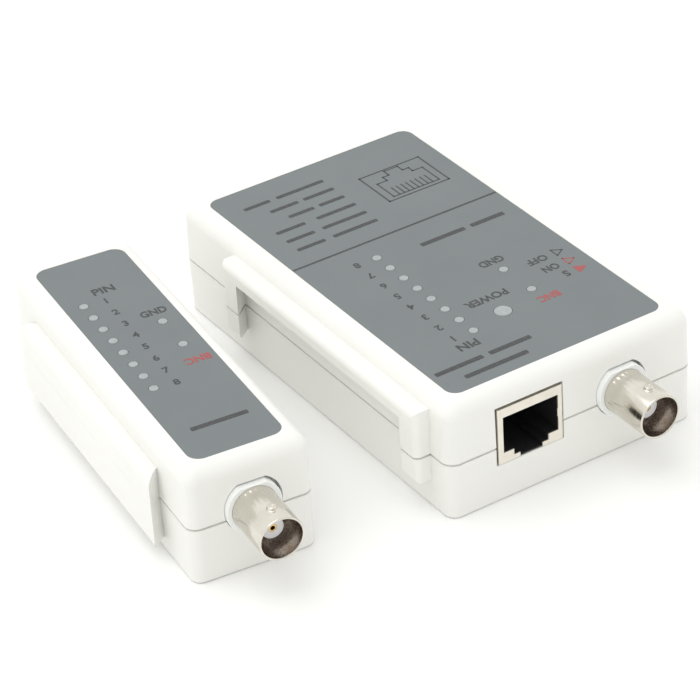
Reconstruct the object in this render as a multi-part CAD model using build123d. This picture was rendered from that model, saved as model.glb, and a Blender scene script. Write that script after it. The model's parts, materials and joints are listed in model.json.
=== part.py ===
from build123d import *
import math
import os

# Network cable tester: a main unit and a remote unit, lying on a table side by side.
# Millimetres. +Z is up and z = 0 is the table. The origin is the middle of the main
# unit's base. The connector faces look along -Y, and +X is the power switch's side.

# ---- Cases ----
MAIN_LENGTH = 103.0
MAIN_WIDTH = 61.2
REMOTE_LENGTH = 88.6
REMOTE_WIDTH = 27.4
CASE_HEIGHT = 26.6
PARTING = 13.3              # height of the line where the two shells meet
WALL = 2.0
FLOOR = 2.0
ROOF = 2.4
MAIN_CORNER = 2.8           # radius of the upright edges
REMOTE_CORNER = 2.6
TOP_RADIUS = 3.4            # rounding of the edges round the top face
BASE_RADIUS = 0.4
DRAFT = 1.0                 # degrees each shell narrows away from the parting line
LIP_HEIGHT = 1.2            # the lower shell's lip inside the upper shell
LIP_GAP = 0.06
GROOVE_DEPTH = 0.6          # the fine groove seen along the parting line
GROOVE_HEIGHT = 0.45

# ---- Where the remote stands beside the main unit ----
REMOTE_X = -64.5
REMOTE_Y = 4.2
REMOTE_TURN = -6.06

# ---- Docking frame on the main unit and docking pad on the remote ----
DOCK_DEPTH = 3.6            # how far the frame stands out of the side
DOCK_FRONT = -45.0
DOCK_REAR = 28.8
DOCK_FOOT = 6.8             # height where the two legs end
RAIL_LOW = 20.6
RAIL_HIGH = 24.0
DOCK_ROUND = 1.5
MOUTH_FRONT = -39.4         # the recess at the frame's outer face
MOUTH_REAR = 22.6
UNDERCUT = 3.0              # how much wider the recess is at its floor, at each end
EMBED = 1.2                 # how far the frame and the pad reach into their shells
PAD_DEPTH = 3.0
PAD_FRONT = -32.7
PAD_REAR = 34.0
PAD_UNDERCUT = 2.6
PAD_LOW = 3.4
PAD_HIGH = 20.2
PAD_SHOULDER = 2.5

# ---- Labels ----
MAIN_LABEL = (52.4, 94.4)
MAIN_LABEL_CORNER = 2.6
REMOTE_LABEL = (20.2, 80.9)
REMOTE_LABEL_CORNER = 2.8
LABEL_THICKNESS = 0.3
LABEL_RECESS = 0.35
LABEL_GAP = 0.08

# ---- Lamps ----
LED_PITCH = 5.08
LED_RADIUS = 1.5
LED_TIP_RADIUS = 1.02
POWER_LED_RADIUS = 2.5
POWER_LED_TIP_RADIUS = 1.9
MAIN_LED_X = -9.3
MAIN_LED_MIDDLE_Y = -12.5
MAIN_GND_LED = (9.1, -15.0)
MAIN_BNC_LED = (9.25, -24.8)
MAIN_POWER_LED = (-0.3, -28.0)
REMOTE_LED_X = -6.0
REMOTE_LED_MIDDLE_Y = 4.7
REMOTE_GND_LED = (5.8, 8.6)
REMOTE_BNC_LED = (5.8, -1.4)

# ---- Circuit boards ----
BOARD_THICKNESS = 1.6
BOARD_TOP = 8.7
MAIN_BOARD_X = 27.8
MAIN_BOARD_Y = (-49.0, 12.6)
REMOTE_BOARD_X = 11.0
REMOTE_BOARD_Y = 41.6
BOARD_CORNER = 3.0

# ---- RJ45 jack, shared by both units: mouth in the plane y = 0, body along +Y ----
JACK_WIDTH = 16.0
JACK_LOW = 8.85
JACK_HIGH = 22.0
JACK_LENGTH = 15.6
SHEET = 0.3
PLUG_WIDTH = 13.2
PLUG_LOW = 11.5
PLUG_HIGH = 19.7
STEP_WIDTH = 8.2
STEP_LOW = 10.1
LATCH_WIDTH = 5.2
LATCH_LOW = 9.25
PLUG_DEPTH = 13.0
CONTACT_PITCH = 1.02
CONTACT_WIDTH = 0.45
SHIELD_MARGIN = 0.15        # how far the shield's mouth stands back from the plug's outline
SHIELD_FOLD = 0.4
JACK_GAP_WIDE = 0.55        # the jack sits a little low and right in its hole
JACK_GAP_TIGHT = 0.12
MAIN_JACK_X = -10.55

# ---- BNC jack, shared by both units: case face in the plane y = 0, barrel along -Y ----
BNC_HEIGHT = 15.0
MAIN_BNC_X = 11.8
FLANGE_RADIUS = 6.0
FLANGE_FLAT = 5.2           # height of the flange's flat top above the barrel's axis
FLANGE_PROUD = 1.2
FLANGE_EDGE = 0.2
FLANGE_GAP = 0.35
HOLE_SHIFT = 0.28           # the case's hole is a little to the right of the flange
BASE_BLOCK = (14.0, 13.0)   # width and length of the block behind the wall
BASE_BLOCK_HIGH = 21.9
BARREL_RADIUS = 4.9
BARREL_END = 13.4           # how far the rim stands out of the case face
MOUTH_RADIUS = 4.4
MOUTH_DEPTH = 4.3           # from the rim to the face of the insulator's nose
THROAT_RADIUS = 4.2         # the space round the nose
THROAT_DEPTH = 9.0
NOSE_RADIUS = 2.35
BARREL_BORE = 3.3
LUG_RADIUS = 1.0
LUG_HEIGHT = 0.7
LUG_FROM_RIM = 3.9
CONTACT_RADIUS = 0.85

# ---- Power switch ----
SWITCH_OFF_Y = -16.5
SWITCH_TRAVEL = 8.25        # OFF to ON to S, two equal steps
SWITCH_HEIGHT = 12.2
KNOB_LENGTH = 4.6
KNOB_TALL = 3.2
KNOB_PROUD = 2.3
KNOB_CLEARANCE = 0.35
SWITCH_FRAME = (7.0, 19.0, 7.0)
SWITCH_FRAME_FACE = 27.4

# ---- Battery and its door ----
BATTERY = (46.4, 26.2, 17.2)
BATTERY_LEFT = -26.0
BATTERY_FRONT = 22.6
BATTERY_LOW = 3.5
BATTERY_EDGE = 2.0
TERMINAL_SPACING = 12.7
TERMINAL_HEIGHT = 2.2
CLIP = (2.9, 24.8, 12.4)    # thickness, length and height of the snap clip
DOOR_HALF_WIDTH = 23.9
DOOR_FLANGE = 1.3           # the tongue along each side of the door
DOOR_FRONT = 21.8
DOOR_GAP = 0.35
DOOR_LOW = 0.25
TONGUE_Z = (1.75, 2.35)
RUNNER_HIGH = 3.35
LEAD_RADIUS = 0.6

# ---- Fasteners ----
CASE_SCREW_RADIUS = 1.1
CASE_SCREW_HEAD = 2.1
CASE_SCREW_SEAT = 3.0
CASE_SCREW_TOP = 19.0
BOARD_SCREW_RADIUS = 1.0
BOARD_SCREW_HEAD = 2.0
BOSS_RADIUS = 3.0
SCREW_GAP = 0.05
MAIN_CASE_SCREWS = [(-25.0, -45.4), (25.0, -45.4), (-26.0, 16.2), (26.0, 16.2)]
REMOTE_CASE_SCREWS = [(0.0, 24.6), (0.0, -24.6)]
MAIN_BOARD_SCREWS = [(-23.5, 8.0), (12.5, 8.4), (-23.5, -33.0), (23.5, -34.0)]
REMOTE_BOARD_SCREWS = [(7.4, 20.6), (-7.0, -20.6)]

MAIN_SIDE = MAIN_WIDTH / 2
MAIN_FACE = -MAIN_LENGTH / 2
REMOTE_FACE = -REMOTE_LENGTH / 2
LABEL_LOW = CASE_HEIGHT - LABEL_RECESS
LABEL_HIGH = LABEL_LOW + LABEL_THICKNESS
REMOTE_PLACE = Location((REMOTE_X, REMOTE_Y, 0), (0, 0, REMOTE_TURN))


# ---- Small helpers ----

def box(x, y, z):
    """A block from its (low, high) limits on each axis."""
    size = (x[1] - x[0], y[1] - y[0], z[1] - z[0])
    middle = ((x[0] + x[1]) / 2, (y[0] + y[1]) / 2, (z[0] + z[1]) / 2)
    return Pos(*middle) * Box(*size)


def left_side(low, high):
    """A block over everything on the -X side between two heights."""
    return box((-60, 0), (-60, 60), (low, high))


def upright(x, y, radius, low, high):
    """A vertical cylinder."""
    return Pos(x, y, (low + high) / 2) * Cylinder(radius, high - low)


def along_y(x, z, radius, low, high):
    """A cylinder that lies along Y."""
    return Pos(x, (low + high) / 2, z) * Rot(90, 0, 0) * Cylinder(radius, high - low)


def along_x(y, z, radius, low, high):
    """A cylinder that lies along X."""
    return Pos((low + high) / 2, y, z) * Rot(0, 90, 0) * Cylinder(radius, high - low)


def slab(width, length, corner, low, high):
    """A rounded rectangle of even thickness, centred on the origin."""
    return Pos(0, 0, low) * extrude(RectangleRounded(width, length, corner), high - low)


def bend_radii(points):
    """The largest arc for each corner of a route that leaves both of its runs a straight middle."""
    radii = []
    for before, corner, after in zip(points, points[1:], points[2:]):
        run_in = Vector(*corner) - Vector(*before)
        run_out = Vector(*after) - Vector(*corner)
        half_turn = math.radians(run_in.get_angle(run_out)) / 2
        radii.append(0.45 * min(run_in.length, run_out.length) / math.tan(half_turn))
    return radii


def wire(points, radius, bends):
    """A round wire along straight runs joined by arcs."""
    path = FilletPolyline(*points, radius=bends)
    profile = Plane(origin=points[0], z_dir=path % 0) * Circle(radius)
    return sweep(profile, path=path)


def save(name, *solids):
    """Write one node, as a single solid or as a group of separate solids."""
    shape = solids[0] if len(solids) == 1 else Compound(children=list(solids))
    export_step(shape, f"parts/{name}.step")


# ---- Cases ----

def case_half(width, length, corner, height, edge_radius):
    """Outer form of one shell: it narrows upwards, and its end edges are rounded."""
    form = extrude(RectangleRounded(width, length, corner), height, taper=DRAFT)
    return fillet(form.faces().sort_by(Axis.Z)[-1].edges(), edge_radius)


def case_forms(width, length, corner):
    """Solid outer forms of the upper and the lower shell."""
    upper = case_half(width, length, corner, CASE_HEIGHT - PARTING, TOP_RADIUS)
    lower = case_half(width, length, corner, PARTING, BASE_RADIUS)
    lower = mirror(lower, about=Plane.XY)
    return Pos(0, 0, PARTING) * upper, Pos(0, 0, PARTING) * lower


def cavity(width, length, corner):
    """The space inside a case."""
    inner = (width - 2 * WALL, length - 2 * WALL, corner - WALL)
    return slab(*inner, FLOOR, CASE_HEIGHT - ROOF)


def lip(width, length, corner, gap, extra):
    """The tongue that stands on the lower shell's inner edge, or the rebate for it."""
    inset = WALL - 0.95 - gap
    outside = (width - 2 * inset, length - 2 * inset, corner - inset)
    inside = (width - 2 * WALL, length - 2 * WALL, corner - WALL)
    top = PARTING + LIP_HEIGHT + extra
    return slab(*outside, PARTING, top) - slab(*inside, PARTING - 1, top + 1)


def parting_groove(outline):
    """A fine groove round the top of a lower shell, from its plan outline."""
    inside = offset(outline, amount=-GROOVE_DEPTH, kind=Kind.INTERSECTION)
    outside = offset(outline, amount=1.0, kind=Kind.INTERSECTION)
    low = PARTING - GROOVE_HEIGHT
    return Pos(0, 0, low) * extrude(outside - inside, GROOVE_HEIGHT)


def screw(x, y, shaft, head, low, seat, top):
    """A cross-head screw that points up, with its head between low and seat."""
    body = upright(x, y, head, low, seat) + upright(x, y, shaft, seat, top)
    cross = box((x - 1.2, x + 1.2), (y - 0.25, y + 0.25), (low - 1, low + 0.9))
    cross += box((x - 0.25, x + 0.25), (y - 1.2, y + 1.2), (low - 1, low + 0.9))
    return body - cross


def case_screws(places):
    low = CASE_SCREW_SEAT - 1.8
    sizes = (CASE_SCREW_RADIUS, CASE_SCREW_HEAD, low, CASE_SCREW_SEAT, CASE_SCREW_TOP)
    return [screw(x, y, *sizes) for x, y in places]


def board_screws(places):
    """Short screws, heads on the board, points down into the standoffs."""
    flip = Pos(0, 0, BOARD_TOP) * Rot(180, 0, 0)
    made = []
    for x, y in places:
        one = screw(0, 0, BOARD_SCREW_RADIUS, BOARD_SCREW_HEAD, -1.5, 0, 5.6)
        made.append(Pos(x, y, 0) * flip * one)
    return made


def upper_bosses(places):
    """Pillars under the roof, with the holes that the case screws bite into."""
    pillars = [upright(x, y, BOSS_RADIUS, PARTING, CASE_HEIGHT - ROOF + 0.5) for x, y in places]
    hole = CASE_SCREW_RADIUS + SCREW_GAP
    holes = [upright(x, y, hole, PARTING - 1, CASE_SCREW_TOP + 1) for x, y in places]
    return pillars, holes


def lower_bosses(case_places, board_places):
    """Pillars on the floor: tall ones for the case screws, short ones for the board."""
    pillars = [upright(x, y, BOSS_RADIUS, FLOOR - 0.5, PARTING) for x, y in case_places]
    board_low = BOARD_TOP - BOARD_THICKNESS
    pillars += [upright(x, y, 2.6, FLOOR - 0.5, board_low) for x, y in board_places]
    holes = [upright(x, y, CASE_SCREW_RADIUS + 0.25, -1, PARTING + 1) for x, y in case_places]
    holes += [upright(x, y, CASE_SCREW_HEAD + 0.25, -1, CASE_SCREW_SEAT) for x, y in case_places]
    hole = BOARD_SCREW_RADIUS + SCREW_GAP
    holes += [upright(x, y, hole, FLOOR + 0.6, board_low + 1) for x, y in board_places]
    return pillars, holes


def label(size, corner, lamps):
    """A thin printed sheet with a hole over each lamp; lamps are (x, y, hole radius)."""
    width, length = size
    sheet = slab(width, length, corner, LABEL_LOW, LABEL_HIGH)
    for x, y, radius in lamps:
        sheet -= upright(x, y, radius, LABEL_LOW - 1, LABEL_HIGH + 1)
    return sheet


def label_recess(size, corner):
    width, length = size
    gap = 2 * LABEL_GAP
    return slab(width + gap, length + gap, corner + LABEL_GAP, LABEL_LOW, CASE_HEIGHT + 1)


def lamp_holes(lamps):
    """Holes in the roof for the lamps; lamps are (x, y, body radius)."""
    low = CASE_HEIGHT - ROOF - 1
    return [upright(x, y, radius + 0.2, low, CASE_HEIGHT) for x, y, radius in lamps]


def led(x, y, radius, tip_radius):
    """A lamp on two long legs: its flat shoulder is under the label, its tip in the label's hole."""
    shoulder = LABEL_LOW - 0.05
    base = shoulder - 5.2
    lamp = upright(x, y, radius, base, shoulder)
    lamp += upright(x, y, radius + 0.3, base, base + 0.9)
    tip = upright(x, y, tip_radius, shoulder - 0.5, LABEL_HIGH + 0.1)
    lamp += fillet(tip.faces().sort_by(Axis.Z)[-1].edges(), 0.15)
    for side in (-1.27, 1.27):
        leg_y = y + side * 0.85
        lamp += box((x - 0.25, x + 0.25), (leg_y - 0.25, leg_y + 0.25), (BOARD_TOP, base + 0.3))
    return lamp


def led_column(x, middle_y):
    """The y of the eight lamps in a column, and the lamps' x."""
    return [(x, middle_y + (3.5 - i) * LED_PITCH) for i in range(8)]


def board(limits_x, limits_y, clear_places, screw_places):
    """A circuit board cut away round the case screws' pillars and drilled for its own screws."""
    low = BOARD_TOP - BOARD_THICKNESS
    plate = box(limits_x, limits_y, (low, BOARD_TOP))
    plate = fillet(plate.edges().filter_by(Axis.Z), BOARD_CORNER)
    for x, y in clear_places:
        plate -= upright(x, y, BOSS_RADIUS + 0.4, low - 1, BOARD_TOP + 1)
    for x, y in screw_places:
        plate -= upright(x, y, BOARD_SCREW_RADIUS + 0.2, low - 1, BOARD_TOP + 1)
    return plate


# ---- RJ45 jack ----

def plug_space(grow, near, far):
    """The keyed mouth: a wide slot, a step under it and a latch slot under the step."""
    space = box((-PLUG_WIDTH / 2 - grow, PLUG_WIDTH / 2 + grow), (near, far),
                (PLUG_LOW - grow, PLUG_HIGH + grow))
    space += box((-STEP_WIDTH / 2 - grow, STEP_WIDTH / 2 + grow), (near, far),
                 (STEP_LOW - grow, PLUG_LOW + 1))
    space += box((-LATCH_WIDTH / 2 - grow, LATCH_WIDTH / 2 + grow), (near, far),
                 (LATCH_LOW - grow, PLUG_LOW + 1))
    return space


def jack_shield():
    """Folded sheet over the front, top, sides and back of the housing, with a small grounding tab."""
    half = JACK_WIDTH / 2
    outside = box((-half, half), (0, JACK_LENGTH), (JACK_LOW, JACK_HIGH))
    folds = outside.faces().sort_by(Axis.Y)[0].edges().filter_by(Axis.Z)
    outside = fillet(folds, SHIELD_FOLD)
    inside = box((-half + SHEET, half - SHEET), (SHEET, JACK_LENGTH - SHEET),
                 (JACK_LOW - 1, JACK_HIGH - SHEET))
    latch = LATCH_WIDTH / 2 + SHIELD_MARGIN
    latch_slot = box((-latch, latch), (-1, 1), (JACK_LOW - 1, LATCH_LOW + 1))
    side = PLUG_WIDTH / 2
    tab = box((side, side + SHIELD_MARGIN + 0.1), (0, SHEET), (14.6, 16.5))
    return outside - inside - plug_space(SHIELD_MARGIN, -1, 1) - latch_slot + tab


def jack_housing():
    half = JACK_WIDTH / 2 - SHEET - 0.05
    block = box((-half, half), (SHEET + 0.02, JACK_LENGTH - SHEET - 0.05),
                (JACK_LOW, JACK_HIGH - SHEET - 0.05))
    return block - plug_space(0.1, -1, PLUG_DEPTH)


def jack_contacts():
    """Eight springy wires that slope down from the mouth's roof towards the back."""
    wires = []
    front, back = 2.2, 11.4
    high, low = PLUG_HIGH - 0.25, 16.9
    rise = math.degrees(math.atan2(high - low, back - front))
    reach = math.hypot(back - front, high - low)
    for i in range(8):
        x = (i - 3.5) * CONTACT_PITCH
        blade = Box(CONTACT_WIDTH, reach, 0.3)
        hook = Pos(x, (front + back) / 2, (high + low) / 2) * Rot(-rise, 0, 0) * blade
        root = box((x - CONTACT_WIDTH / 2, x + CONTACT_WIDTH / 2), (front - 0.3, front + 1.2),
                   (high - 0.45, PLUG_HIGH + 0.05))
        wires.append(hook + root)
    return wires


def jack_opening():
    """The hole in a case's end wall that the jack looks out of."""
    half = JACK_WIDTH / 2
    return box((-half - JACK_GAP_WIDE, half + JACK_GAP_TIGHT), (-1, WALL + 1),
               (JACK_LOW - JACK_GAP_TIGHT, JACK_HIGH + JACK_GAP_WIDE))


# ---- BNC jack ----

def d_shape(grow, near, far):
    """A round flange with a flat top, along Y."""
    disc = along_y(0, BNC_HEIGHT, FLANGE_RADIUS + grow, near, far)
    top = BNC_HEIGHT + FLANGE_FLAT + grow
    return disc - box((-20, 20), (near - 1, far + 1), (top, top + 20))


def bnc_base():
    """White block on the board, with the D-shaped flange that fills the case's hole."""
    half = BASE_BLOCK[0] / 2
    back = WALL + 0.4 + BASE_BLOCK[1]
    block = box((-half, half), (WALL + 0.4, back), (BOARD_TOP, BASE_BLOCK_HIGH))
    flange = d_shape(0, -FLANGE_PROUD, WALL + 1)
    front_face = flange.faces().sort_by(Axis.Y)[0]
    flange = fillet(front_face.edges(), FLANGE_EDGE)
    shape = block + flange
    return shape - along_y(0, BNC_HEIGHT, BARREL_RADIUS + 0.03, -FLANGE_PROUD - 1, back - 2)


def bnc_barrel():
    """Metal tube with two bayonet lugs and a rounded rim."""
    back = WALL + 0.4 + BASE_BLOCK[1] - 2.1
    rim = -BARREL_END
    tube = along_y(0, BNC_HEIGHT, BARREL_RADIUS, rim, back)
    tube = fillet(tube.faces().sort_by(Axis.Y)[0].edges(), 0.35)
    lug_y = rim + LUG_FROM_RIM
    reach = BARREL_RADIUS + LUG_HEIGHT
    lugs = Pos(0, lug_y, BNC_HEIGHT) * Cylinder(LUG_RADIUS, 2 * reach)
    tube += fillet(lugs.edges(), 0.2)
    tube -= along_y(0, BNC_HEIGHT, MOUTH_RADIUS, rim - 1, rim + MOUTH_DEPTH)
    tube -= along_y(0, BNC_HEIGHT, THROAT_RADIUS, rim, rim + THROAT_DEPTH)
    return tube - along_y(0, BNC_HEIGHT, BARREL_BORE, rim, back + 1)


def bnc_insulator():
    """White core that fills the back of the barrel and stands forward as a nose."""
    start = -BARREL_END + MOUTH_DEPTH
    end = WALL + 0.4 + BASE_BLOCK[1] - 2.1
    core = along_y(0, BNC_HEIGHT, BARREL_BORE - 0.03, -BARREL_END + THROAT_DEPTH - 1.0, end)
    core += along_y(0, BNC_HEIGHT, NOSE_RADIUS, start, end)
    return core - along_y(0, BNC_HEIGHT, CONTACT_RADIUS + 0.02, start - 1, end + 1)


def bnc_centre_contact():
    start = -BARREL_END + MOUTH_DEPTH
    end = WALL + 0.4 + BASE_BLOCK[1] - 2.1
    pin = along_y(0, BNC_HEIGHT, CONTACT_RADIUS, start, end)
    return pin - along_y(0, BNC_HEIGHT, 0.5, start - 1, start + 5)


def bnc_opening():
    return Pos(HOLE_SHIFT, 0, 0) * d_shape(FLANGE_GAP, -1, WALL + 1)


# ---- Docking frame and pad ----

def docking_frame():
    """Inverted U on the main unit's left side; the recess in it is wider at its floor."""
    outer = -MAIN_SIDE - DOCK_DEPTH
    frame = box((outer, -MAIN_SIDE + EMBED), (DOCK_FRONT, DOCK_REAR), (DOCK_FOOT, RAIL_HIGH))
    face = frame.faces().sort_by(Axis.X)[0]
    frame = fillet(face.edges(), DOCK_ROUND)
    slope = UNDERCUT / DOCK_DEPTH
    floor = -MAIN_SIDE + EMBED + 0.1
    spread = slope * (floor - outer)
    corners = [(outer - 0.5, MOUTH_FRONT + 0.5 * slope), (outer - 0.5, MOUTH_REAR - 0.5 * slope),
               (floor, MOUTH_REAR + spread), (floor, MOUTH_FRONT - spread)]
    recess = extrude(make_face(Polyline(*corners, close=True)), RAIL_LOW + 1)
    return frame - Pos(0, 0, -1) * recess


def plan_at_parting(part):
    """The outline of each solid in a part at the parting line, brought down to z = 0."""
    plane = Plane.XY.offset(PARTING)
    return [Pos(0, 0, -PARTING) * section(one, section_by=plane) for one in part.solids()]


def docking_pad():
    """Pad on the remote's left side, with undercut ends that fit the main unit's recess."""
    side = -REMOTE_WIDTH / 2
    slope = PAD_UNDERCUT / PAD_DEPTH
    root = side + EMBED
    narrow = slope * (root - side + PAD_DEPTH)
    corners = [(side - PAD_DEPTH, PAD_FRONT), (side - PAD_DEPTH, PAD_REAR),
               (root, PAD_REAR - narrow), (root, PAD_FRONT + narrow)]
    pad = Pos(0, 0, PAD_LOW) * extrude(make_face(Polyline(*corners, close=True)), PAD_HIGH - PAD_LOW)
    outer = pad.faces().sort_by(Axis.X)[0]
    top_edge = outer.edges().sort_by(Axis.Z)[-1]
    pad = fillet(top_edge, PAD_SHOULDER)
    outer = pad.faces().filter_by(GeomType.PLANE).sort_by(Axis.X)[0]
    low_edge = outer.edges().sort_by(Axis.Z)[0]
    return fillet(low_edge, 0.8)


# ---- Main unit ----

def main_lamps():
    return [(x, y, LED_RADIUS) for x, y in led_column(MAIN_LED_X, MAIN_LED_MIDDLE_Y)] + [
        (*MAIN_GND_LED, LED_RADIUS),
        (*MAIN_BNC_LED, LED_RADIUS),
        (*MAIN_POWER_LED, POWER_LED_RADIUS),
    ]


def main_openings():
    """Everything cut through the main unit's walls."""
    cuts = Pos(MAIN_JACK_X, MAIN_FACE, 0) * jack_opening()
    cuts += Pos(MAIN_BNC_X, MAIN_FACE, 0) * bnc_opening()
    reach = KNOB_LENGTH / 2 + KNOB_CLEARANCE
    tall = KNOB_TALL / 2 + KNOB_CLEARANCE
    cuts += box((MAIN_SIDE - WALL - 1, MAIN_SIDE + 5),
                (SWITCH_OFF_Y - SWITCH_TRAVEL - reach, SWITCH_OFF_Y + reach),
                (SWITCH_HEIGHT - tall, SWITCH_HEIGHT + tall))
    return cuts


def door_space():
    """The slot for the battery door: a hole in the floor with a groove along each side."""
    half = DOOR_HALF_WIDTH + DOOR_GAP
    end = MAIN_LENGTH / 2 + 1
    space = box((-half, half), (DOOR_FRONT - DOOR_GAP, end), (-1, RUNNER_HIGH))
    groove = half + DOOR_FLANGE
    space += box((-groove, groove), (DOOR_FRONT - DOOR_GAP, end),
                 (TONGUE_Z[0] - 0.3, TONGUE_Z[1] + 0.3))
    return space


def main_shells():
    size = (MAIN_WIDTH, MAIN_LENGTH, MAIN_CORNER)
    upper, lower = case_forms(*size)
    frame = docking_frame()
    upper += frame & left_side(PARTING, CASE_HEIGHT)
    lower += frame & left_side(0, PARTING)
    plan = RectangleRounded(*size)
    for leg in plan_at_parting(frame & left_side(PARTING - 1, PARTING + 1)):
        plan += leg
    space = cavity(*size)
    openings = main_openings()

    pillars, holes = upper_bosses(MAIN_CASE_SCREWS)
    upper = upper - space + pillars
    upper -= lip(*size, LIP_GAP, 0.1)
    upper -= holes
    upper -= openings
    upper -= label_recess(MAIN_LABEL, MAIN_LABEL_CORNER)
    upper -= lamp_holes(main_lamps())

    pillars, holes = lower_bosses(MAIN_CASE_SCREWS, MAIN_BOARD_SCREWS)
    form = lower
    lower = lower - space + pillars
    lower += lip(*size, 0, 0)
    low, back = FLOOR - 0.5, MAIN_LENGTH / 2
    for side in (-1, 1):
        inner, outer = DOOR_HALF_WIDTH - 0.5, MAIN_SIDE
        x = (inner, outer) if side > 0 else (-outer, -inner)
        runner = box(x, (DOOR_FRONT - 1.5, back), (low, RUNNER_HIGH))
        lower += runner & form
    reach = MAIN_SIDE - 1.0
    partition = box((-reach, reach), (DOOR_FRONT - 1.6, DOOR_FRONT - DOOR_GAP), (low, PARTING - 0.4))
    lead_notch = box((19.0, MAIN_SIDE - WALL), (DOOR_FRONT - 3, DOOR_FRONT + 1), (9.0, PARTING))
    lower += partition - lead_notch
    lower -= holes
    lower -= openings
    lower -= door_space()
    lower -= parting_groove(plan)
    return upper, lower


def battery():
    left, front, low = BATTERY_LEFT, BATTERY_FRONT, BATTERY_LOW
    can = box((left, left + BATTERY[0]), (front, front + BATTERY[1]), (low, low + BATTERY[2]))
    long_edges = can.edges().filter_by(Axis.X)
    can = fillet(long_edges, BATTERY_EDGE)
    return fillet(can.edges().group_by(Axis.X)[0] + can.edges().group_by(Axis.X)[-1], 0.5)


def battery_terminals():
    """One smooth and one crowned snap, both at the battery's right end."""
    end = BATTERY_LEFT + BATTERY[0]
    y = BATTERY_FRONT + BATTERY[1] / 2
    z = BATTERY_LOW + BATTERY[2] / 2
    half = TERMINAL_SPACING / 2
    smooth = along_x(y - half, z, 2.75, end, end + TERMINAL_HEIGHT)
    crown = along_x(y + half, z, 4.0, end, end + TERMINAL_HEIGHT)
    crown -= along_x(y + half, z, 3.0, end + 0.6, end + TERMINAL_HEIGHT + 1)
    return smooth, crown


def snap_clip():
    """Flat moulded clip over the terminals."""
    thick, long, tall = CLIP
    start = BATTERY_LEFT + BATTERY[0] + TERMINAL_HEIGHT + 0.02
    y = BATTERY_FRONT + BATTERY[1] / 2
    z = BATTERY_LOW + BATTERY[2] / 2
    clip = box((start, start + thick), (y - long / 2, y + long / 2), (z - tall / 2, z + tall / 2))
    return fillet(clip.edges().filter_by(Axis.X), 2.5)


def battery_leads():
    """Two hook-up wires from the clip, through the partition's notch, down to the board."""
    clip_end = BATTERY_FRONT + BATTERY[1] / 2 - CLIP[1] / 2
    x = BATTERY_LEFT + BATTERY[0] + TERMINAL_HEIGHT + CLIP[0] / 2
    routes = {
        "red": [(x, clip_end, 13.9), (x, 20.6, 13.9), (20.8, 15.4, 14.8), (19.6, 8.6, 14.4),
                (19.6, 8.6, BOARD_TOP)],
        "black": [(x, clip_end, 11.6), (x, 20.6, 11.6), (20.4, 15.4, 12.2), (17.3, 9.2, 12.3),
                  (17.3, 9.2, BOARD_TOP)],
    }
    leads = []
    for colour, route in routes.items():
        radii = bend_radii(route)
        leads.append(wire(route, LEAD_RADIUS, radii))
        print("battery lead", colour, "radii", [round(radius, 1) for radius in radii])
    return leads


def battery_door():
    """Sliding plate with a tongue along each side and ribs to push it by."""
    end = MAIN_LENGTH / 2 - 0.5
    half = DOOR_HALF_WIDTH
    door = box((-half, half), (DOOR_FRONT, end), (DOOR_LOW, TONGUE_Z[1]))
    door += box((-half - DOOR_FLANGE + 0.1, half + DOOR_FLANGE - 0.1), (DOOR_FRONT, end - 3.0), TONGUE_Z)
    for i in range(6):
        y = DOOR_FRONT + 4.0 + 1.6 * i
        door -= box((-8.0, 8.0), (y, y + 0.8), (DOOR_LOW - 1, DOOR_LOW + 0.45))
    return door


def switch_frame():
    """Body of the slide switch, on the board, with the slot its knob runs in."""
    deep, long, tall = SWITCH_FRAME
    middle = SWITCH_OFF_Y - SWITCH_TRAVEL / 2
    body = box((SWITCH_FRAME_FACE - deep, SWITCH_FRAME_FACE), (middle - long / 2, middle + long / 2),
               (BOARD_TOP, BOARD_TOP + tall))
    reach = SWITCH_TRAVEL / 2 + 1.4 + KNOB_CLEARANCE
    slot = box((SWITCH_FRAME_FACE - 2.0, SWITCH_FRAME_FACE + 1), (middle - reach, middle + reach),
               (SWITCH_HEIGHT - 1.4, SWITCH_HEIGHT + 1.4))
    return body - slot


def switch_knob():
    """Ribbed cap outside the case on a stem that reaches into the switch."""
    half = KNOB_LENGTH / 2
    cap = box((SWITCH_FRAME_FACE + 0.4, MAIN_SIDE + KNOB_PROUD),
              (SWITCH_OFF_Y - half, SWITCH_OFF_Y + half),
              (SWITCH_HEIGHT - KNOB_TALL / 2, SWITCH_HEIGHT + KNOB_TALL / 2))
    outer = cap.faces().sort_by(Axis.X)[-1]
    cap = fillet(outer.edges(), 0.4)
    for i in range(3):
        y = SWITCH_OFF_Y + (i - 1) * 1.3
        cap -= box((MAIN_SIDE + KNOB_PROUD - 0.4, 50), (y - 0.3, y + 0.3), (0, 30))
    stem = box((SWITCH_FRAME_FACE - 1.6, SWITCH_FRAME_FACE + 0.6),
               (SWITCH_OFF_Y - 1.4, SWITCH_OFF_Y + 1.4),
               (SWITCH_HEIGHT - 1.05, SWITCH_HEIGHT + 1.05))
    return cap + stem


# ---- Parts on the boards ----

def chip_body(x, y, pins):
    """Dual in-line chip that lies along Y."""
    long = pins / 2 * 2.54 - 1.0
    low = BOARD_TOP + 0.6
    body = box((x - 3.2, x + 3.2), (y - long / 2, y + long / 2), (low, low + 3.4))
    return body - upright(x, y + long / 2, 0.8, low + 3.0, low + 5)


def chip_legs(x, y, pins):
    legs = []
    half = (pins / 2 - 1) / 2
    for i in range(pins // 2):
        leg_y = y + (i - half) * 2.54
        for side in (-1, 1):
            near, far = sorted((x + side * 3.21, x + side * 3.91))
            legs.append(box((near, far), (leg_y - 0.3, leg_y + 0.3), (BOARD_TOP, BOARD_TOP + 2.4)))
    return legs


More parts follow.
